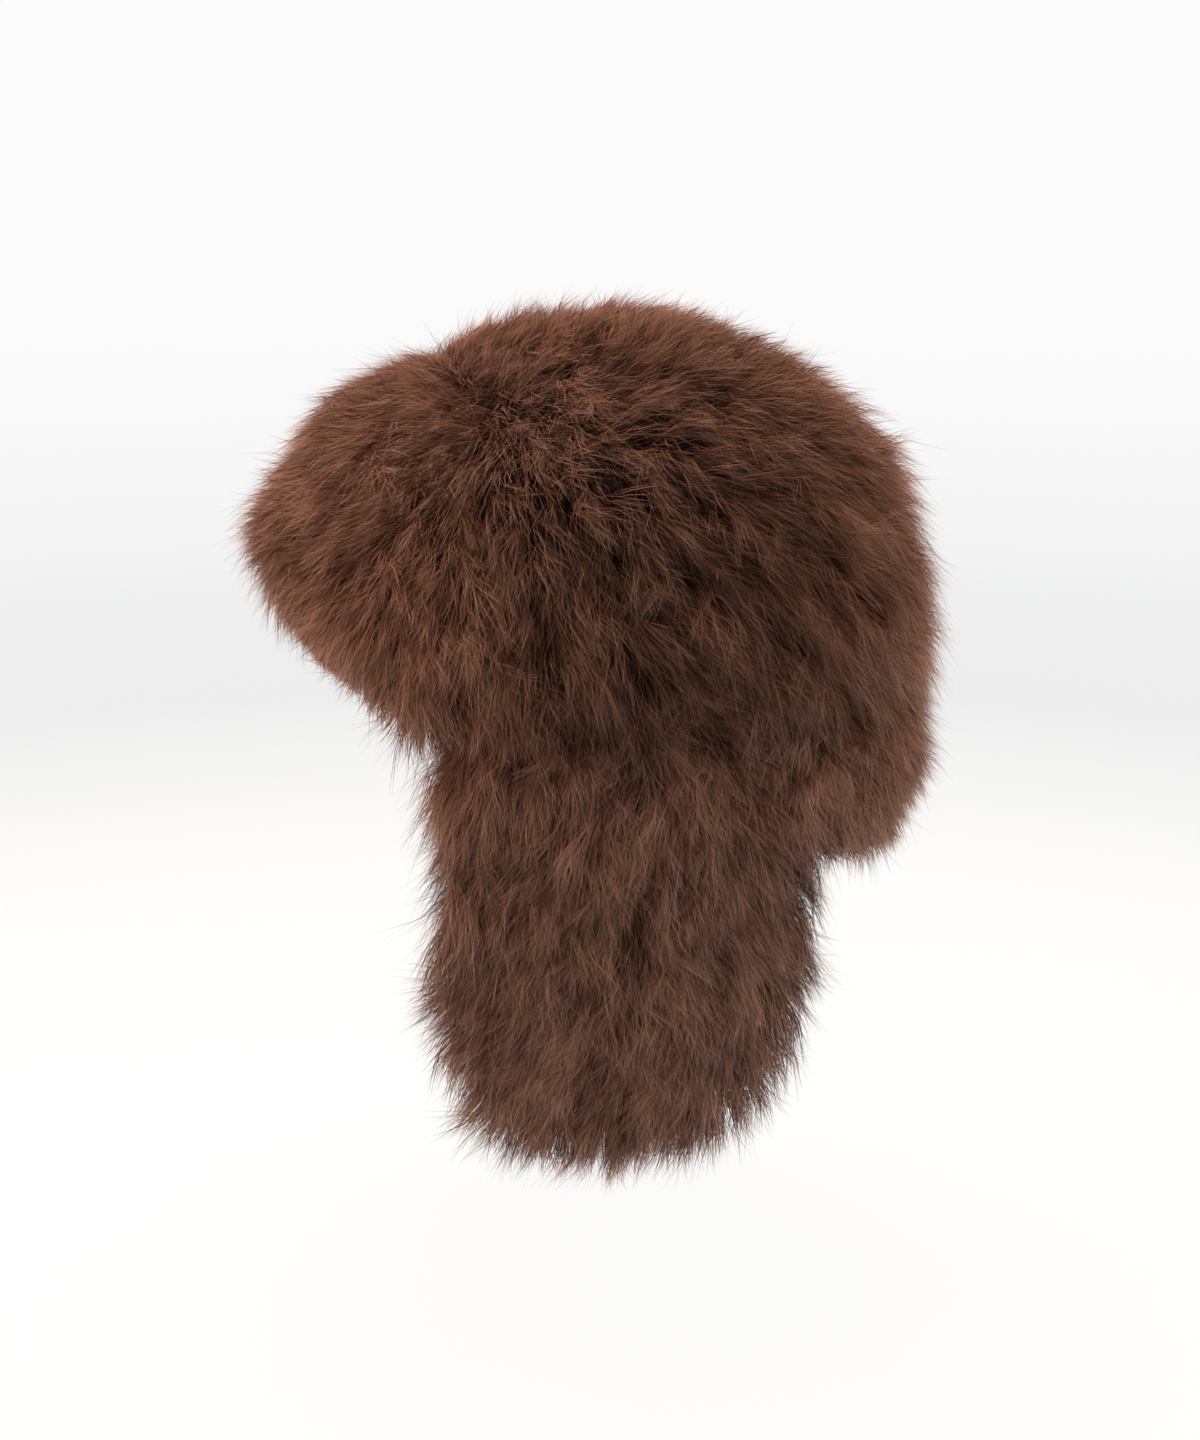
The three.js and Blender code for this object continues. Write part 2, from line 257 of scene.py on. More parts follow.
# The fuzz is painted paler: painted light, for light shining through fine hairs at the outline.
FUZZ_PAINTED_BACKLIGHT = 0.38

# Colours from root to tip, the shares of a strand over which they change, and what tone does to them.
# The root colour is partly the hair's own darker base and partly painted shade deep in the pile.
ROOT_DARK_AND_PAINTED_SHADE = np.array([0.027, 0.010, 0.0055])
RUST = np.array([0.133, 0.0425, 0.0195])
TIP = np.array([0.382, 0.188, 0.118])
RUST_OVER = (0, 0.55)
TIP_OVER = (0.45, 0.5)
DARKEST = 0.2
TONE_GAIN = 1.6
# The tints are painted light: warmer on the crown for warm light from above, cooler on the ear and neck
# flaps for cool light from behind and below.
CROWN_PAINTED_LIGHT_TINT = np.array([1.0, 0.97, 0.94])
EAR_PAINTED_LIGHT_TINT = np.array([1.0, 1.06, 1.12])
NECK_PAINTED_LIGHT_TINT = np.array([1.0, 1.08, 1.15])

# Mean tones, 0 dark to 1 pale. The crown's, the ear flaps' and the neck flap's tones also carry painted
# light and shade.
CROWN_TONE_WITH_PAINTED_LIGHT = {
    "common": 0.47,
    # Painted shade on the sides, up the sides and in the parting's groove; painted light along the top and
    # the back.
    "painted_shade_at_sides": 0.27,
    "painted_light_at_top": 0.13,
    "painted_light_at_back": 0.16,
    "painted_shade_at_parting": 0.09,
    "painted_shade_up_the_sides": 0.12,
    "up_the_sides_over": (0.1, 0.25),
}
FRONT_TONE = {"common": 0.57, "darker_at_foot": 0.05, "foot_over": (0, 0.35), "paler_at_parting": 0.04}
# The ear flaps are painted paler near the rim: painted light.
EAR_TONE_WITH_PAINTED_LIGHT = {"common": 0.345, "painted_light_at_rim": 0.225, "rim_over": (0.12, 0.25)}
# The neck flap's tone is the hair's own tone raised by painted light from behind.
NECK_TONE_WITH_PAINTED_LIGHT = 0.66

# The texture map of a strand: its tone one way, root to tip the other way.
MAP_MARGIN = 0.02
MAP_TONES = 0.95
MAP_WIDTH = 0.01
MAP_LENGTH = 0.96

# The underfur's thickness.
UNDER_LEAST = 0.2
UNDER = 10.0
UNDER_BESIDE_FLAP = 8.0  # degrees over which the crown's grows thick beside the front flap
UNDER_CROWN = {"rim_share": 0.45, "rim_over": (0, 0.12)}
UNDER_FRONT = {"edge_power": 6, "foot_share": 0.1, "foot_over": (0, 0.5), "top_loss": 0.6, "top_power": 8}
UNDER_HANGING = {"less": 2.0, "edge_power": 5, "foot_power": 8, "rim_share": 0.5, "rim_over": (0, 0.1)}

# Materials. Pale hair is glossier than dark hair.
PILE_SPECULAR = 0.25
PILE_PALE = 0.4
PILE_ROUGHNESS = (0.78, 0.52)
# The underfur's dark colours are partly its own and partly painted shade, so that the gaps between strands
# read as deep shade.
UNDERFUR_LOOK_WITH_PAINTED_SHADE = {
    "dark": (0.02, 0.009, 0.006),
    "light": (0.06, 0.028, 0.017),
    "scale": 420,
    "bump": 0.002,
    "roughness": 0.9,
}
SUEDE_LOOK = {
    "dark": (0.06, 0.034, 0.022),
    "light": (0.11, 0.066, 0.044),
    "scale": 900,
    "bump": 0.0004,
    "roughness": 0.9,
}
NOISE_DETAIL = 6
NOISE_ENDS = (0.32, 0.72)
NOISE_SMOOTHER = 0.12
NOISE_ROUGHER = 0.08
NOISE_SPECULAR = 0.2

# The studio, in metres. Each shade is a place on its ramp and a colour.
SWEEP_FLOOR = -0.235
SWEEP_FLAT = 1.5
SWEEP_FILLET = 0.7
SWEEP_TOP = 2.2
SWEEP_STEPS = 12
SWEEP_SIDES = 96
SWEEP_REACH = 2.6
SWEEP_GREY = (0.06, 0.06, 0.06, 1)
SWEEP_ROUGHNESS = 0.9
SWEEP_SPECULAR = 0.1
SWEEP_GLOW = 0.97
SWEEP_ENDS = ((0.96, 0.955, 0.95, 1), (1, 1, 1, 1))
# The greyer band part way out is painted shade on the backdrop.
SWEEP_PAINTED_SHADES = (
    (0.22, (0.92, 0.915, 0.91, 1)),
    (0.4, (0.80, 0.805, 0.81, 1)),
    (0.6, (0.84, 0.845, 0.85, 1)),
    (0.8, (0.96, 0.962, 0.965, 1)),
)
WORLD_ENDS = ((0.6, 0.62, 0.66, 1), (1, 0.95, 0.88, 1))
WORLD_SHADES = (
    (0.35, (0.26, 0.27, 0.29, 1)),
    (0.5, (0.11, 0.11, 0.112, 1)),
    (0.68, (0.18, 0.172, 0.165, 1)),
)
WORLD_STRENGTHS = (0.8, 0.5)  # from the wearer's right to the left
LIGHTS = (
    {"name": "top", "place": (-0.3, -0.1, 1.15), "size": 1.1, "power": 19, "colour": (1, 0.9, 0.81)},
    {"name": "front", "place": (0.1, -1.1, 0.15), "size": 0.8, "power": 18, "colour": (1, 0.94, 0.87)},
    {"name": "back", "place": (0.15, 1.2, 0.0), "size": 0.8, "power": 23, "colour": (0.86, 0.95, 1)},
)
LIGHTS_AIM = (0, 0, 0)
BOUNCE = {"name": "bounce", "place": (0.3, 0.0, -0.3), "size": 0.4, "power": 0.9, "colour": (0.94, 0.97, 1)}
BOUNCE_AIM = (0, 0, -0.1)
CAMERA_AZIMUTH = 86.0
CAMERA_ELEVATION = 13.5
CAMERA_DISTANCE = 0.9
CAMERA_TARGET = (0, 0, -0.018)
CAMERA_LENS = 57.08
CAMERA_SENSOR = 36

DOWN = np.array([0.0, 0.0, -1.0])


def radians(degrees):
    return np.radians(degrees)


def signed_power(value, power):
    return np.sign(value) * np.abs(value) ** power


def smoothstep(x):
    x = np.clip(x, 0.0, 1.0)
    return x * x * (3.0 - 2.0 * x)


def grown(value, over):
    """0 before the start, 1 once the span is past, and smooth between."""
    start, span = over
    return smoothstep((value - start) / span)


def hump(value, at):
    """1 at a place, falling smoothly to 0 to both sides. at: the place, and how wide the hump is."""
    place, width = at
    return np.exp(-(((value - place) / width) ** 2))


def unit(vectors):
    return vectors / np.maximum(np.linalg.norm(vectors, axis=-1, keepdims=True), TINY)


def tangent_part(vectors, normals):
    return vectors - (vectors * normals).sum(-1, keepdims=True) * normals


def nearest(points, centres):
    """The index of the nearest centre to each point."""
    gap = (centres**2).sum(-1)[None, :] - 2 * points @ centres.T
    return gap.argmin(1)


def crown_form(turn, climb):
    """Where the crown's inner face is. Its rim arches up over the brow."""
    ring = np.cos(radians(climb)).clip(0, 1) ** (2 / SQUARENESS)
    rim = BROW_LIFT * (1 - smoothstep(np.abs(turn) / BROW_HALF_TURN))
    rise = signed_power(np.sin(radians(climb)), 2 / SQUARENESS)
    return np.stack(
        [
            HEAD_HALF_WIDTH * np.sin(radians(turn)) * ring,
            -HEAD_HALF_LENGTH * np.cos(radians(turn)) * ring,
            rim + (HEAD_HEIGHT - rim) * rise,
        ],
        -1,
    )


def crown_raised(turn, climb, height):
    """A place at a height above the crown's inner face."""
    step = NORMAL_STEP
    level = np.minimum(climb, TOP_CLIMB - step)
    around = crown_form(turn + step, level) - crown_form(turn - step, level)
    down = crown_form(turn, level - step) - crown_form(turn, level + step)
    normal = unit(np.cross(around, down))
    outward = (normal * crown_form(turn, np.zeros_like(climb))).sum(-1, keepdims=True)
    return crown_form(turn, climb) + height * np.where(outward < 0, -1, 1) * normal


def front_top(across):
    """The climb of the front flap's top edge, by the share of its half turn."""
    rounded = (1 - np.abs(across).clip(0, 1) ** FRONT_CORNER_POWER) ** (1 / FRONT_CORNER_POWER)
    return FRONT_TOP_CLIMB * np.maximum(FRONT_CORNER_SHARE, rounded)


def crown(height):
    """The crown's surface at a height above its inner face, as a function of u and v."""
    return lambda u, v: crown_raised(HALF_ROUND * u, TOP_CLIMB * v, height)


def front_flap(height):
    """The front flap's surface at a height above the crown's inner face, less its bulge."""

    def surface(u, v):
        turn = FRONT_HALF_TURN * u
        climb = FRONT_FOOT_CLIMB + (front_top(u) - FRONT_FOOT_CLIMB) * v
        bulge = FRONT_BULGE * np.sin(math.pi * v**FRONT_BULGE_RISE) * (1 - u * u)
        return crown_raised(turn, climb, (height + bulge)[..., None])

    return surface


def hanging(flap, side, height):
    """A hanging flap's surface at a height above its inner face. side: 1 left, -1 right."""
    depths, outs = np.array(flap["hang"]).T

    def surface(u, v):
        past = np.maximum(0, (v - flap["shoulder"]) / (1 - flap["shoulder"]))
        bend = np.sqrt((1 - past**2).clip(0))
        share = flap["foot_share"] + (1 - flap["foot_share"]) * bend
        middle = side * (flap["turn"] - flap["lean"] * np.abs(v) ** LEAN_POWER)
        turn = middle + u * flap["half_turn"] * share
        depth = flap["drop"] * v
        place = np.searchsorted(depths, depth).clip(1, len(depths) - 1)
        step = (depth - depths[place - 1]) / (depths[place] - depths[place - 1])
        out = outs[place - 1] + (outs[place] - outs[place - 1]) * smoothstep(step) + height
        return np.stack(
            [
                (HEAD_HALF_WIDTH + out) * np.sin(radians(turn)),
                -(HEAD_HALF_LENGTH + out) * np.cos(radians(turn)),
                -depth,
            ],
            -1,
        )

    return surface


def frame_of(surface, u, v):
    """Point, outward normal, and the unit directions in which u and v grow."""
    step = FRAME_STEP
    point = surface(u, v)
    along_u = unit(surface(u + step, v) - surface(u - step, v))
    low = np.maximum(v - step, 0)
    high = np.minimum(v + step, 1)
    along_v = unit(surface(u, high) - surface(u, low))
    normal = unit(np.cross(along_u, along_v))
    out = point * OUTWARD
    normal *= np.where((normal * out).sum(-1, keepdims=True) < 0, -1.0, 1.0)
    return point, normal, along_u, along_v


def field(rng, wavelength):
    """A smooth random field over space, about -1 to 1, that repeats at no one length."""
    ways = unit(rng.normal(size=(FIELD_WAVES, 3)))
    lengths = wavelength * rng.uniform(*FIELD_LENGTHS, (FIELD_WAVES, 1))
    ways = ways * (2 * math.pi / lengths)
    phases = rng.uniform(0, 2 * math.pi, FIELD_WAVES)

    def value(points):
        return np.sin(points @ ways.T + phases).sum(-1) / math.sqrt(FIELD_WAVES / 2) / FIELD_PEAK

    return value


def scatter(rng, surface, count, weight):
    """count places (u, v) spread evenly over the surface's area, times weight(u, v)."""
    cells = SCATTER_CELLS
    edges_u = np.linspace(-1, 1, cells + 1)
    edges_v = np.linspace(0, 1, cells + 1)
    grid = surface(*np.meshgrid(edges_u, edges_v, indexing="ij"))
    a = grid[1:, :-1] - grid[:-1, :-1]
    b = grid[:-1, 1:] - grid[:-1, :-1]
    mid_u = (edges_u[1:] + edges_u[:-1]) / 2
    mid_v = (edges_v[1:] + edges_v[:-1]) / 2
    share = np.linalg.norm(np.cross(a, b), axis=-1) * weight(*np.meshgrid(mid_u, mid_v, indexing="ij"))
    cell = rng.choice(cells * cells, count, p=share.ravel() / share.sum())
    u = edges_u[cell // cells] + rng.uniform(0, 2 / cells, count)
    v = edges_v[cell % cells] + rng.uniform(0, 1 / cells, count)
    return u, v


def away_from_parting(points, normals):
    """The vector along the surface from the nearest place on the parting, and the distance from it."""
    gap = points[:, None, :] - PARTING[None, :-1, :]
    leg = PARTING[1:] - PARTING[:-1]
    along = ((gap * leg).sum(-1) / (leg * leg).sum(-1)).clip(0, 1)
    away = points[:, None, :] - (PARTING[None, :-1, :] + along[..., None] * leg)
    distance = np.linalg.norm(away, axis=-1)
    pick = distance.argmin(1)
    rows = np.arange(len(points))
    return tangent_part(away[rows, pick], normals), distance[rows, pick]


def near_parting(points):
    """1 on the parting, falling to 0 some way off it."""
    _, distance = away_from_parting(points, np.zeros_like(points))
    return np.exp(-((distance / PARTING_REACH) ** 2))


def combed(rng, point, normal, gravity, falls_over):
    """The nap of hair that is combed away from the parting and falls, and its distance from the parting."""
    strayed = point + PILE_OUTSIDE * normal + rng.normal(0, PARTING_BLEND, point.shape)
    way, distance = away_from_parting(strayed, normal)
    way = unit(way)
    swirl = -SWIRL * np.sign(point[:, 0]) * np.exp(-((distance / SWIRL_REACH) ** 2))
    swirl = radians(swirl)[:, None]
    way = way * np.cos(swirl) + np.cross(normal, way) * np.sin(swirl)
    fall = tangent_part(np.broadcast_to(DOWN, point.shape), normal)
    pull = gravity * grown(distance, falls_over)
    return unit(way + pull[:, None] * fall), distance


def crown_nap(rng, u, v, point, normal, along_u, along_v):
    """The direction, lift and height of the crown's hair, and the way that it stands out."""
    hair = CROWN_HAIR
    nap, distance = combed(rng, point, normal, hair["gravity"], hair["falls_over"])
    lift = LIFT - FLATTER_AT_PARTING * (1 - grown(distance, FLATTER_OVER))
    lift = lift + hair["top_lift"] * normal[:, 2].clip(0) ** 2
    height = hair["height"] - hair["shorter_at_parting"] * (1 - grown(distance, hair["parting_over"]))
    height -= hair["shorter_at_top"] * grown(v, hair["top_over"])
    height -= hair["shorter_over_ears"] * (1 - grown(v, hair["ears_over"])) * normal[:, 0] ** 2
    height += hair["longer_at_back"] * normal[:, 1].clip(0) ** 2 * grown(v, hair["back_over"])
    return nap, lift, height, normal


def front_nap(rng, u, v, point, normal, along_u, along_v):
    """As crown_nap. The flap's hair is fullest below half height and lies flat at its lower corners."""
    hair = FRONT_HAIR
    nap, distance = combed(rng, point, normal, hair["gravity"], hair["falls_over"])
    inside = 1 - u * u
    corner = grown(np.abs(u), hair["corners_over"]) * (1 - grown(v, hair["foot_over"]))
    peak = inside * hump(v, hair["peak_at"])
    hollow = inside * hump(v, hair["hollow_at"])
    lift = LIFT - FLATTER_AT_PARTING * (1 - grown(distance, FLATTER_OVER))
    lift = lift + hair["peak_lift"] * peak - hair["flatter_at_corners"] * corner
    foot = hair["foot_height"] + hair["longer_at_foot_ends"] * grown(np.abs(u), hair["foot_ends_over"])
    height = foot + (hair["height"] - foot) * grown(v, hair["foot_over"])
    height = height + hair["peak_height"] * peak - hair["hollow_depth"] * hollow
    height = height - hair["shorter_at_top"] * grown(v, hair["top_over"])
    edge = grown(np.abs(u), hair["edge_over"]) * np.sign(u)
    top = grown(v, hair["top_edge_over"])
    tilt = (hair["edge_tilt"] * edge)[:, None] * along_u
    rise = (hair["edge_tilt"] * top)[:, None] * along_v
    return nap, lift, height, unit(normal + tilt + rise)


def hanging_nap(spread, lift_at, height_at, forward=0.0):
    """The nap of a hanging flap.

    spread fans it out sideways. forward turns it towards growing u, more and more towards the foot.
    """
    hair = HANGING_HAIR

    def nap_of(rng, u, v, point, normal, along_u, along_v):
        fall = tangent_part(np.broadcast_to(DOWN, point.shape), normal)
        fan = spread * u + forward * grown(v, hair["forward_over"])
        nap = unit(fall + fan[:, None] * along_u)
        edge = grown(np.abs(u), hair["edge_over"])
        foot = grown(v, hair["foot_over"])
        tilt = hair["edge_tilt"] + hair["rim_tilt"] * (1 - grown(v, hair["rim_over"]))
        out = normal + (tilt * edge * np.sign(u))[:, None] * along_u
        out = out + (hair["foot_tilt"] * foot)[:, None] * along_v
        return nap, np.full(len(u), lift_at), height_at(u, v), unit(out)

    return nap_of


def ear_height(front):
    """How high an ear flap's hair stands. front: the sign of u on its edge towards the face."""
    hair = EAR_HAIR

    def height(u, v):
        edge = grown(front * u, hair["front_edge_over"])
        fuller = hair["fuller_at_rim"] * (1 - grown(v, hair["fuller_over"]))
        fuller = fuller + hair["fuller_below"] * hump(v, hair["fuller_at"])
        common = hair["height"] - hair["shorter_at_rim"] * (1 - grown(v, hair["rim_over"]))
        return common - hair["shorter_at_foot"] * grown(v, hair["foot_over"]) + fuller * edge

    return height


def neck_height(u, v):
    return NECK_HAIR["height"] - NECK_HAIR["shorter_at_foot"] * grown(v, NECK_HAIR["foot_over"])


def comb(rng, surface, nap_of, weight, tone_at, clumps, root, uneven, mottle):
    """The strands' centre lines, half widths across and tones, clump by clump.

    weight(u, v) is how dense they grow, root is how far above the surface, and tone_at(v, point, normal) is
    their mean tone. uneven scales how much clumps differ in direction, lift and height, and mottle in tone.
    """
    u, v = scatter(rng, surface, clumps, weight)
    point, normal, along_u, along_v = frame_of(surface, u, v)
    nap, lift, height, out = nap_of(rng, u, v, point, normal, along_u, along_v)

    tufts = clumps // CLUMPS_PER_TUFT
    tuft_centre = surface(*scatter(rng, surface, tufts, weight))
    tuft = nearest(point, tuft_centre)
    inward = (tuft_centre[tuft] - point) * rng.uniform(*TUFT_PULL, tufts)[tuft, None]

    yaw_wave = field(rng, YAW_WAVE)
    lift_wave = field(rng, LIFT_WAVE)
    length_wave = field(rng, LENGTH_WAVE)
    yaw_ripple = field(rng, YAW_RIPPLE)

    yaw = YAW_VARIES["wave"] * yaw_wave(point) + YAW_VARIES["ripple"] * yaw_ripple(point)
    yaw = yaw + rng.normal(0, YAW_VARIES["tuft"], tufts)[tuft]
    yaw = yaw + rng.normal(0, YAW_VARIES["clump"], clumps)
    yaw = radians(yaw * uneven)[:, None]
    nap = unit(nap * np.cos(yaw) + np.cross(out, nap) * np.sin(yaw))
    side = np.cross(out, nap)

    stand = LIFT_VARIES["wave"] * lift_wave(point)
    stand = stand + rng.normal(0, LIFT_VARIES["tuft"], tufts)[tuft]
    stand = stand + rng.normal(0, LIFT_VARIES["clump"], clumps)
    lift = (lift + uneven * stand).clip(*LIFT_LIMITS)

    longer = LENGTH_VARIES["wave"] * length_wave(point)
    longer = longer + rng.normal(0, LENGTH_VARIES["tuft"], tufts)[tuft]
    longer = longer + rng.normal(0, LENGTH_VARIES["clump"], clumps)
    height = np.maximum(height * (1 + uneven * longer), root + LEAST_RISE)
    sweep = np.minimum((height - root) / np.tan(radians(lift)), MOST_SWEEP)
    curl = rng.normal(0, CURL_VARIES["tuft"], tufts)[tuft] + rng.normal(0, CURL_VARIES["clump"], clumps)

    # From here on each row is a strand, and owner is its clump.
    n = clumps * PER_CLUMP
    owner = np.repeat(np.arange(clumps), PER_CLUMP)
    fuzz = rng.uniform(0, 1, n) < FUZZ_SHARE
    reach = rng.normal(1.0, LENGTH_VARIES["strand"], n).clip(*REACH_LIMITS)
    reach = np.where(fuzz, reach * FUZZ_REACH, reach).clip(*FUZZ_REACH_LIMITS)
    s = STRAND_STEPS[None, :] * reach[:, None]
    rise = (height - root)[owner, None] * (
        1 - (1 - s.clip(0, 1)) ** RISE_POWER + RISE_PAST_END * (s - 1).clip(0)
    )
    rise *= np.where(fuzz, FUZZ_RISE, 1.0)[:, None]
    slide = sweep[owner, None] * s**SLIDE_POWER * np.where(fuzz, FUZZ_SLIDE, 1.0)[:, None]
    drift = (curl[owner] + rng.normal(0, CURL_VARIES["strand"], n))[:, None] * s**2
    line = (
        point[owner, None, :]
        + out[owner, None, :] * (root + rise - slide**2 / DROOP_LENGTH)[..., None]
        + nap[owner, None, :] * slide[..., None]
        + side[owner, None, :] * drift[..., None]
        + inward[owner, None, :] * (s**SLIDE_POWER)[..., None]
    )

    # Strands root apart and draw together towards the clump's tip, where some stray.
    spot = rng.normal(0, 1, (n, 2))
    spot = spot * (CLUMP_RADIUS * rng.lognormal(0, CLUMP_RADIUS_SPREAD, clumps))[owner, None]
    apart = spot[:, :1] * side[owner] + spot[:, 1:] * nap[owner]
    pull = rng.uniform(*CLUMP_PULL, n)
    line += apart[:, None, :] * (1 - pull[:, None] * STRAND_STEPS[None, :] ** CLUMP_PULL_POWER)[..., None]
    stray = rng.normal(0, 1, (n, 3)) * rng.choice(STRAY_SIZES, n, p=STRAY_SHARES)[:, None]
    line += stray[:, None, :] * (STRAND_STEPS[None, :] ** STRAY_POWER)[..., None]
    below = (-FOOT_TIPS - line[..., 2]).clip(0)
    line[..., 2] += below - FOOT_GIVE * (1 - np.exp(-below / FOOT_GIVE))

    # A strand is a narrow ribbon, turned about its own length and facing outwards.
    ahead = unit(line[:, -1] - line[:, 0])
    flat = unit(np.cross(ahead, out[owner]))
    twist = radians(rng.uniform(-STRAND_TWIST, STRAND_TWIST, n))[:, None]
    across = flat * np.cos(twist) + np.cross(ahead, flat) * np.sin(twist)
    facing = np.cross(across, ahead)
    across *= np.where((facing * out[owner]).sum(-1, keepdims=True) < 0, -1.0, 1.0)
    half = across * np.where(fuzz, FUZZ_WIDTH / 2, STRAND_WIDTH / 2)[:, None]

    tone = TONE_VARIES["wave"] * length_wave(point)
    tone = tone + rng.normal(0, TONE_VARIES["tuft"], tufts)[tuft]
    tone = tone + rng.normal(0, TONE_VARIES["clump"], clumps)
    tone = (tone_at(v, point, normal) + mottle * tone)[owner]
    # Fuzz gets painted light: paler, as if light shone through it.
    tone = tone + rng.normal(0, TONE_VARIES["strand"] * mottle, n) + FUZZ_PAINTED_BACKLIGHT * fuzz
    return line, half, tone.clip(0, 1)


def shade(tone, along):
    """The pile's colour: dark at the root, partly the hair's own and partly painted shade deep in the pile,
    rust in the middle, pale at the tip, and paler with tone.
    """
    tone = tone[..., None]
    along = along[..., None]
    low = ROOT_DARK_AND_PAINTED_SHADE + (RUST - ROOT_DARK_AND_PAINTED_SHADE) * grown(along, RUST_OVER)
    full = low + (TIP - low) * grown(along, TIP_OVER)
    return full * (DARKEST + TONE_GAIN * tone)


def add_piece(name, node, mesh, material):
    """A piece of the visual model that takes over from a node of the frame."""
    mesh.materials.append(material)
    piece = bpy.data.objects.new(name, mesh)
    bpy.context.scene.collection.objects.link(piece)
    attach(piece, "root")
    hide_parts(node)


def strands(name, node, line, half, tone, material, painted_light_tint=1.0):
    """The strands of a piece as one mesh of tapering ribbons, coloured along their length and tinted by
    painted light.
    """
    count = len(line)
    rings = len(STRAND_WIDTHS)
    points = 2 * rings + 1
    half = half[:, None, :] * STRAND_WIDTHS[None, :, None]
    verts = np.empty((count, points, 3), np.float32)
    verts[:, 0:-1:2] = line[:, :-1] - half
    verts[:, 1:-1:2] = line[:, :-1] + half
    verts[:, -1] = line[:, -1]
    pattern = [k for r in range(rings - 1) for k in (2 * r, 2 * r + 1, 2 * r + 3, 2 * r + 2)]
    pattern += [points - 3, points - 2, points - 1]
    owner = np.arange(count, dtype=np.int32)[:, None]
    corners = points * owner + np.array(pattern, np.int32)[None, :]
    starts = len(pattern) * owner + 4 * np.arange(rings, dtype=np.int32)[None, :]
    mesh = bpy.data.meshes.new(name)
    mesh.vertices.add(count * points)
    mesh.loops.add(corners.size)
    mesh.polygons.add(starts.size)
    mesh.vertices.foreach_set("co", (verts * METRES).ravel())
    mesh.loops.foreach_set("vertex_index", corners.ravel())
    mesh.polygons.foreach_set("loop_start", starts.ravel())
    mesh.polygons.foreach_set("use_smooth", np.ones(starts.size, bool))
    mesh.update(calc_edges=True)

    along = np.append(np.repeat(STRAND_STEPS[:-1], 2), STRAND_STEPS[-1])
    colour = np.ones((count, points, 4), np.float32)
    point_tone = np.repeat(tone[:, None], points, 1)
    colour[..., :3] = shade(point_tone, np.broadcast_to(along, (count, points))) * painted_light_tint
    layer = mesh.color_attributes.new("pile", "FLOAT_COLOR", "POINT")
    layer.data.foreach_set("color", colour.ravel())

    uv = np.empty((count, points, 2), np.float32)
    edge = np.append(np.tile([0.0, 1.0], rings), 0.5)
    uv[:, :, 0] = MAP_MARGIN + MAP_TONES * tone[:, None] + MAP_WIDTH * edge
    uv[:, :, 1] = MAP_MARGIN + MAP_LENGTH * along
    corner_uv = uv.reshape(-1, 2)[corners.ravel()]
    mesh.uv_layers.new(name="OFBake").data.foreach_set("uv", corner_uv.ravel())
    add_piece(name, node, mesh, material)


def grid_of(across, along_steps, wrap):
    """A grid of (u, v). wrap: it goes right round the head, so its last column would repeat its first."""
    round_steps = np.linspace(-1, 1, across + 1)[: across if wrap else None]
    return np.meshgrid(round_steps, along_steps, indexing="ij")


def closed_layer(name, node, outer, inner, material, wrap=False, rounding=0.0):
    """A closed layer between two grids of points, with its sharp edges rounded when rounding is given.

    wrap: the grid's first row follows its last, and its last column ends in a cap.
    """
    rows, cols = outer.shape[:2]
    verts = np.concatenate([outer.reshape(-1, 3), inner.reshape(-1, 3)]) * METRES
    index = np.arange(rows * cols).reshape(rows, cols)
    if wrap:
        near = index
        far = np.roll(index, -1, 0)
        rim = index[:, 0]
    else:
        near = index[:-1]
        far = index[1:]
        rim = np.concatenate([index[:, 0], index[-1, 1:], index[-2::-1, -1], index[0, -2:0:-1]])
    top = np.stack([near[:, :-1], far[:, :-1], far[:, 1:], near[:, 1:]], -1).reshape(-1, 4)
    low = top[:, ::-1] + rows * cols
    after = np.roll(rim, -1)
    walls = np.stack([after, rim, rim + rows * cols, after + rows * cols], -1)
    faces = np.concatenate([top, low, walls]).tolist()
    if wrap:
        faces += [index[:, -1].tolist(), (index[::-1, -1] + rows * cols).tolist()]
    mesh = bpy.data.meshes.new(name)
    mesh.from_pydata(verts.tolist(), [], faces)
    form = bmesh.new()
    form.from_mesh(mesh)
    bmesh.ops.recalc_face_normals(form, faces=form.faces)
    if rounding:
        sharp = [edge for edge in form.edges if edge.calc_face_angle(0) > math.radians(SHARP_TURN)]
        bmesh.ops.bevel(
            form,
            geom=sharp,
            offset=rounding * METRES,
            segments=ROUND_SEGMENTS,
            profile=0.5,
            affect="EDGES",
        )
    form.to_mesh(mesh)
    form.free()
    mesh.shade_smooth()
    add_piece(name, node, mesh, material)


def underfur(name, node, surface, height_at, material, across, along, wrap=False):
    """A closed layer of dense dark underfur over the wall, in the same form as the wall. Its darkness is
    partly painted shade.
    """
    steps = np.linspace(POLE_GAP, 1 - POLE_GAP, along + 1)
    grid_u, grid_v = grid_of(across, steps, wrap)
    point, normal, _, _ = frame_of(surface, grid_u, grid_v)
    outer = point + normal * height_at(grid_u, grid_v)[..., None]
    closed_layer(name, node, outer, point, material, wrap)


def wall(name, outer_surface, inner_surface, material, across, along, first=0.0, wrap=False):
    """A pelt's skin side, between its outer and inner surfaces, from v = first to its far end."""
    steps = first + (1 - first) * np.sin(np.linspace(0, 0.5, along + 1) * math.pi)
    grid_u, grid_v = grid_of(across, steps.clip(0, 1 - POLE_GAP if wrap else 1), wrap)
    outer = outer_surface(grid_u, grid_v)
    inner = inner_surface(grid_u, grid_v)
    closed_layer(name + "_skin", name, outer, inner, material, wrap, rounding=WALL / 3)


def denser_at_parting(surface, u, v):
    places = surface(u, v).reshape(-1, 3)
    return 1 + DENSER_AT_PARTING * near_parting(places).reshape(u.shape)


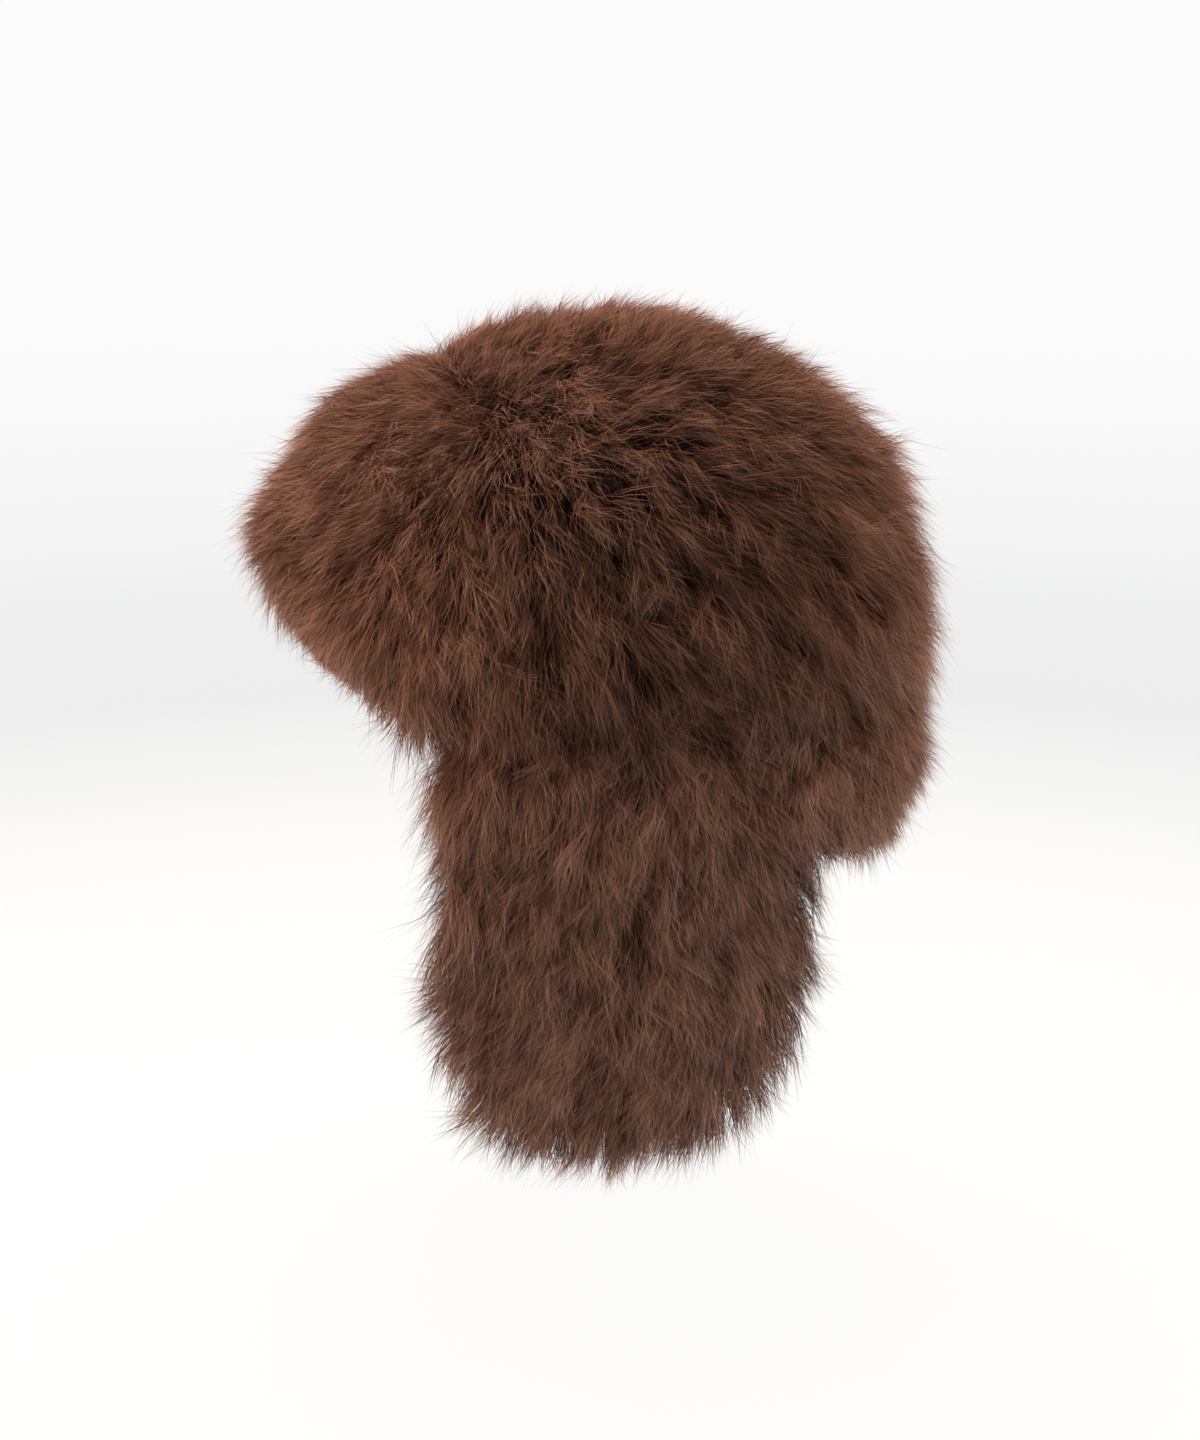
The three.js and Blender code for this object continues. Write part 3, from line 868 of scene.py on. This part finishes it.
def off_front_flap(u, v):
    """How dense the crown's hair grows: none grows under the front flap."""
    turn = np.abs(HALF_ROUND * u)
    climb = TOP_CLIMB * v
    inside = (turn < FRONT_HALF_TURN + FRONT_MARGIN) & (
        climb < front_top(turn / FRONT_HALF_TURN) + FRONT_MARGIN
    )
    return np.where(inside, 0.0, denser_at_parting(crown(PILE_OUTSIDE), u, v))


def over_front_flap(u, v):
    return denser_at_parting(front_flap(PILE_OUTSIDE), u, v)


def even(u, v):
    return np.ones_like(u)


def crown_tone_with_painted_light(v, point, normal):
    """Painted light and shade: painted shade on the sides, the upper sides and the parting's groove, painted
    light along the top and the back.
    """
    tone = CROWN_TONE_WITH_PAINTED_LIGHT["common"] - CROWN_TONE_WITH_PAINTED_LIGHT["painted_shade_at_sides"] * normal[:, 0] ** 2
    tone = tone + CROWN_TONE_WITH_PAINTED_LIGHT["painted_light_at_top"] * normal[:, 2].clip(0) ** 2
    tone = tone + CROWN_TONE_WITH_PAINTED_LIGHT["painted_light_at_back"] * normal[:, 1].clip(0) ** 2
    tone -= CROWN_TONE_WITH_PAINTED_LIGHT["painted_shade_at_parting"] * near_parting(point + PILE_OUTSIDE * normal)
    up_the_sides = grown(v, CROWN_TONE_WITH_PAINTED_LIGHT["up_the_sides_over"])
    return tone - CROWN_TONE_WITH_PAINTED_LIGHT["painted_shade_up_the_sides"] * up_the_sides * normal[:, 0] ** 2


def front_tone(v, point, normal):
    tone = FRONT_TONE["common"] - FRONT_TONE["darker_at_foot"] * (1 - grown(v, FRONT_TONE["foot_over"]))
    return tone + FRONT_TONE["paler_at_parting"] * near_parting(point + PILE_OUTSIDE * normal)


def ear_tone_with_painted_light(v, point, normal):
    # Painted light: paler near the rim.
    return EAR_TONE_WITH_PAINTED_LIGHT["common"] + EAR_TONE_WITH_PAINTED_LIGHT["painted_light_at_rim"] * (1 - grown(v, EAR_TONE_WITH_PAINTED_LIGHT["rim_over"]))


def neck_tone_with_painted_light(v, point, normal):
    # Painted light from behind makes the whole neck flap paler.
    return np.full(len(v), NECK_TONE_WITH_PAINTED_LIGHT)


def share_grown(share, value, over):
    """A share before the start of over, 1 once its span is past."""
    return share + (1 - share) * grown(value, over)


def crown_under(u, v):
    """The underfur's thickness on the crown: almost none under the front flap."""
    turn = np.abs(HALF_ROUND * u)
    climb = TOP_CLIMB * v
    past = np.maximum(
        (turn - FRONT_HALF_TURN - FRONT_MARGIN) / UNDER_BESIDE_FLAP,
        (climb - front_top(turn / FRONT_HALF_TURN) - FRONT_MARGIN) / UNDER_BESIDE_FLAP,
    )
    rim = share_grown(UNDER_CROWN["rim_share"], v, UNDER_CROWN["rim_over"])
    return UNDER_LEAST + UNDER * smoothstep(past) * rim


def front_under(u, v):
    edge = 1 - np.abs(u) ** UNDER_FRONT["edge_power"]
    foot = share_grown(UNDER_FRONT["foot_share"], v, UNDER_FRONT["foot_over"])
    top = 1 - UNDER_FRONT["top_loss"] * np.abs(v) ** UNDER_FRONT["top_power"]
    return UNDER_LEAST + UNDER * edge * foot * top


def hanging_under(u, v):
    edge = 1 - np.abs(u) ** UNDER_HANGING["edge_power"]
    foot = 1 - np.abs(v) ** UNDER_HANGING["foot_power"]
    rim = share_grown(UNDER_HANGING["rim_share"], v, UNDER_HANGING["rim_over"])
    return UNDER_LEAST + (UNDER - UNDER_HANGING["less"]) * edge * foot * rim


def node_material(name):
    material = bpy.data.materials.new(name)
    material.use_nodes = True
    tree = material.node_tree
    shader = next(n for n in tree.nodes if n.type == "BSDF_PRINCIPLED")
    return material, tree, shader


def pile_material():
    """The strands' own colours, with paler hair glossier."""
    material, tree, shader = node_material("pile")
    colour = tree.nodes.new("ShaderNodeAttribute")
    colour.attribute_name = "pile"
    tree.links.new(colour.outputs["Color"], shader.inputs["Base Color"])
    parts = tree.nodes.new("ShaderNodeSeparateColor")
    gloss = tree.nodes.new("ShaderNodeMapRange")
    gloss.inputs["From Max"].default_value = PILE_PALE
    gloss.inputs["To Min"].default_value = PILE_ROUGHNESS[0]
    gloss.inputs["To Max"].default_value = PILE_ROUGHNESS[1]
    tree.links.new(colour.outputs["Color"], parts.inputs["Color"])
    tree.links.new(parts.outputs["Red"], gloss.inputs["Value"])
    tree.links.new(gloss.outputs["Result"], shader.inputs["Roughness"])
    shader.inputs["Specular IOR Level"].default_value = PILE_SPECULAR
    return material


def noise_material(name, dark, light, scale, bump, roughness):
    """A mottled, matt surface with a fine relief."""
    material, tree, shader = node_material(name)
    place = tree.nodes.new("ShaderNodeTexCoord")
    noise = tree.nodes.new("ShaderNodeTexNoise")
    noise.inputs["Scale"].default_value = scale
    noise.inputs["Detail"].default_value = NOISE_DETAIL
    ramp = tree.nodes.new("ShaderNodeValToRGB")
    for element, colour, end in zip(ramp.color_ramp.elements, (dark, light), NOISE_ENDS):
        element.color = (*colour, 1)
        element.position = end
    relief = tree.nodes.new("ShaderNodeBump")
    relief.inputs["Distance"].default_value = bump
    tree.links.new(place.outputs["Object"], noise.inputs["Vector"])
    tree.links.new(noise.outputs["Fac"], ramp.inputs["Fac"])
    tree.links.new(noise.outputs["Fac"], relief.inputs["Height"])
    tree.links.new(ramp.outputs["Color"], shader.inputs["Base Color"])
    tree.links.new(relief.outputs["Normal"], shader.inputs["Normal"])
    matt = tree.nodes.new("ShaderNodeMapRange")
    matt.inputs["To Min"].default_value = roughness - NOISE_SMOOTHER
    matt.inputs["To Max"].default_value = roughness + NOISE_ROUGHER
    tree.links.new(noise.outputs["Fac"], matt.inputs["Value"])
    tree.links.new(matt.outputs["Result"], shader.inputs["Roughness"])
    shader.inputs["Specular IOR Level"].default_value = NOISE_SPECULAR
    return material


def fill_ramp(node, ends, shades):
    """A colour ramp with its two end colours and the shades between."""
    elements = node.color_ramp.elements
    elements[0].color = ends[0]
    elements[1].color = ends[1]
    for place, colour in shades:
        elements.new(place).color = colour


def sweep_material():
    """A pale glowing backdrop that is hardly lit by the lamps; painted shade makes it a little greyer some
    way off.
    """
    material, tree, shader = node_material("sweep")
    shader.inputs["Base Color"].default_value = SWEEP_GREY
    shader.inputs["Roughness"].default_value = SWEEP_ROUGHNESS
    shader.inputs["Specular IOR Level"].default_value = SWEEP_SPECULAR
    shader.inputs["Emission Strength"].default_value = SWEEP_GLOW
    place = tree.nodes.new("ShaderNodeTexCoord")
    away = tree.nodes.new("ShaderNodeVectorMath")
    away.operation = "LENGTH"
    reach = tree.nodes.new("ShaderNodeMapRange")
    reach.inputs["From Max"].default_value = SWEEP_REACH
    fade = tree.nodes.new("ShaderNodeValToRGB")
    fill_ramp(fade, SWEEP_ENDS, SWEEP_PAINTED_SHADES)
    tree.links.new(place.outputs["Object"], away.inputs[0])
    tree.links.new(away.outputs["Value"], reach.inputs["Value"])
    tree.links.new(reach.outputs["Result"], fade.inputs["Fac"])
    tree.links.new(fade.outputs["Color"], shader.inputs["Emission Color"])
    return material


def add_sweep():
    """A flat round floor that curves up into a wall all round."""
    profile = [(SWEEP_FLAT, SWEEP_FLOOR)]
    for k in range(1, SWEEP_STEPS + 1):
        turn = math.radians(90 * k / SWEEP_STEPS)
        out = SWEEP_FLAT + SWEEP_FILLET * math.sin(turn)
        up = SWEEP_FLOOR + SWEEP_FILLET * (1 - math.cos(turn))
        profile.append((out, up))
    profile.append((SWEEP_FLAT + SWEEP_FILLET, SWEEP_TOP))
    sides = SWEEP_SIDES
    verts = []
    faces = []
    for radius, z in profile:
        for i in range(sides):
            turn = 2 * math.pi * i / sides
            verts.append((radius * math.cos(turn), radius * math.sin(turn), z))
    for ring in range(len(profile) - 1):
        for i in range(sides):
            j = (i + 1) % sides
            low = ring * sides
            high = low + sides
            faces.append((low + i, low + j, high + j, high + i))
    faces.append(tuple(range(sides - 1, -1, -1)))
    mesh = bpy.data.meshes.new("sweep")
    mesh.from_pydata(verts, [], faces)
    mesh.shade_smooth()
    mesh.materials.append(sweep_material())
    sweep = bpy.data.objects.new("sweep", mesh)
    bpy.context.scene.collection.objects.link(sweep)
    sweep.visible_diffuse = False
    sweep.visible_glossy = False


def add_world():
    """Soft light from all round, brightest above, dimmest at the hat's level, stronger from the right."""
    world = bpy.data.worlds.new("studio")
    world.use_nodes = True
    nodes = world.node_tree.nodes
    links = world.node_tree.links
    way = nodes.new("ShaderNodeTexCoord")
    parts = nodes.new("ShaderNodeSeparateXYZ")
    spread = nodes.new("ShaderNodeMapRange")
    spread.inputs["From Min"].default_value = -1
    ramp = nodes.new("ShaderNodeValToRGB")
    fill_ramp(ramp, WORLD_ENDS, WORLD_SHADES)
    links.new(way.outputs["Generated"], parts.inputs["Vector"])
    links.new(parts.outputs["Z"], spread.inputs["Value"])
    links.new(spread.outputs["Result"], ramp.inputs["Fac"])
    links.new(ramp.outputs["Color"], nodes["Background"].inputs["Color"])
    side = nodes.new("ShaderNodeMapRange")
    side.inputs["From Min"].default_value = -1
    side.inputs["To Min"].default_value = WORLD_STRENGTHS[0]
    side.inputs["To Max"].default_value = WORLD_STRENGTHS[1]
    links.new(parts.outputs["X"], side.inputs["Value"])
    links.new(side.outputs["Result"], nodes["Background"].inputs["Strength"])
    bpy.context.scene.world = world


def area_light(aim, name, place, size, power, colour):
    data = bpy.data.lights.new(name, "AREA")
    data.shape = "SQUARE"
    data.size = size
    data.energy = power
    data.color = colour
    light = bpy.data.objects.new(name, data)
    light.location = place
    light.rotation_euler = (Vector(aim) - Vector(place)).to_track_quat("-Z", "Y").to_euler()
    bpy.context.scene.collection.objects.link(light)
    return light


def studio():
    """A round white sweep, soft light all round, and soft lamps above, in front and behind."""
    add_sweep()
    add_world()
    bpy.context.scene.view_settings.view_transform = "Standard"
    for lamp in LIGHTS:
        area_light(LIGHTS_AIM, **lamp)
    bounce = area_light(BOUNCE_AIM, **BOUNCE)
    bounce.visible_camera = False


def camera():
    azimuth = math.radians(CAMERA_AZIMUTH)
    elevation = math.radians(CAMERA_ELEVATION)
    way = Vector(
        (
            math.cos(elevation) * math.sin(azimuth),
            -math.cos(elevation) * math.cos(azimuth),
            math.sin(elevation),
        )
    )
    data = bpy.data.cameras.new("camera")
    data.lens = CAMERA_LENS
    data.sensor_width = CAMERA_SENSOR
    eye = bpy.data.objects.new("camera", data)
    eye.location = Vector(CAMERA_TARGET) + CAMERA_DISTANCE * way
    eye.rotation_euler = (-way).to_track_quat("-Z", "Y").to_euler()
    bpy.context.scene.collection.objects.link(eye)
    bpy.context.scene.camera = eye


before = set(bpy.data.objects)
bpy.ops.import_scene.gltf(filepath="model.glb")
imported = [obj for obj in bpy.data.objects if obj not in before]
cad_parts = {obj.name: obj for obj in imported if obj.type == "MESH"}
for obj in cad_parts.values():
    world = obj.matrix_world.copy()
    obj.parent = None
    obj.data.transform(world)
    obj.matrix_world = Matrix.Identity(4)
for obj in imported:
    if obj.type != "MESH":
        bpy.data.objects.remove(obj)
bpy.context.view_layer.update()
rng = np.random.default_rng(SEED)

camera()
studio()

pile = pile_material()
under = noise_material("underfur", **UNDERFUR_LOOK_WITH_PAINTED_SHADE)
suede = noise_material("suede", **SUEDE_LOOK)

wall("crown", crown(WALL), crown(0), suede, **CROWN_WALL_GRID, wrap=True)
front_outside = front_flap(FRONT_BASE - 2 * SEAM_GAP)
wall("front_flap", front_outside, front_flap(WALL + FRONT_STAND_OFF), suede, **FRONT_WALL_GRID)
HANGING_FLAPS = (
    ("ear_flap_left", EAR_FLAP, 1),
    ("ear_flap_right", EAR_FLAP, -1),
    ("neck_flap", NECK_FLAP, 1),
)
for name, flap, side in HANGING_FLAPS:
    outside = hanging(flap, side, WALL)
    wall(name, outside, hanging(flap, side, 0), suede, **WALL_GRID, first=SEAM_GAP / flap["drop"])

crown_base = crown(CROWN_BASE)
front_base = front_flap(FRONT_BASE)
ear_left = hanging(EAR_FLAP, 1, CROWN_BASE)
ear_right = hanging(EAR_FLAP, -1, CROWN_BASE)
neck = hanging(NECK_FLAP, 1, CROWN_BASE)
underfur("crown_underfur", "crown_fur", crown_base, crown_under, under, **CROWN_UNDERFUR_GRID, wrap=True)
underfur("front_flap_underfur", "front_flap_fur", front_base, front_under, under, **UNDERFUR_GRID)
underfur("ear_flap_left_underfur", "ear_flap_left_fur", ear_left, hanging_under, under, **UNDERFUR_GRID)
underfur("ear_flap_right_underfur", "ear_flap_right_fur", ear_right, hanging_under, under, **UNDERFUR_GRID)
underfur("neck_flap_underfur", "neck_flap_fur", neck, hanging_under, under, **UNDERFUR_GRID)

line, half, tone = comb(rng, crown_base, crown_nap, off_front_flap, crown_tone_with_painted_light, **CROWN_COMB)
left = line[:, 0, 0] > 0
for name, half_crown in (("crown_pile_left", left), ("crown_pile_right", ~left)):
    strands(name, "crown_fur", line[half_crown], half[half_crown], tone[half_crown], pile, CROWN_PAINTED_LIGHT_TINT)

line, half, tone = comb(rng, front_base, front_nap, over_front_flap, front_tone, **FRONT_COMB)
strands("front_flap_pile", "front_flap_fur", line, half, tone, pile)

for name, surface, front in (("ear_flap_left", ear_left, -1), ("ear_flap_right", ear_right, 1)):
    forward = EAR_HAIR["forward"] * front
    ear_nap = hanging_nap(EAR_HAIR["spread"], EAR_HAIR["lift"], ear_height(front), forward)
    line, half, tone = comb(rng, surface, ear_nap, even, ear_tone_with_painted_light, **EAR_COMB)
    strands(name + "_pile", name + "_fur", line, half, tone, pile, EAR_PAINTED_LIGHT_TINT)

neck_nap = hanging_nap(NECK_HAIR["spread"], NECK_HAIR["lift"], neck_height)
line, half, tone = comb(rng, neck, neck_nap, even, neck_tone_with_painted_light, **NECK_COMB)
strands("neck_flap_pile", "neck_flap_fur", line, half, tone, pile, NECK_PAINTED_LIGHT_TINT)
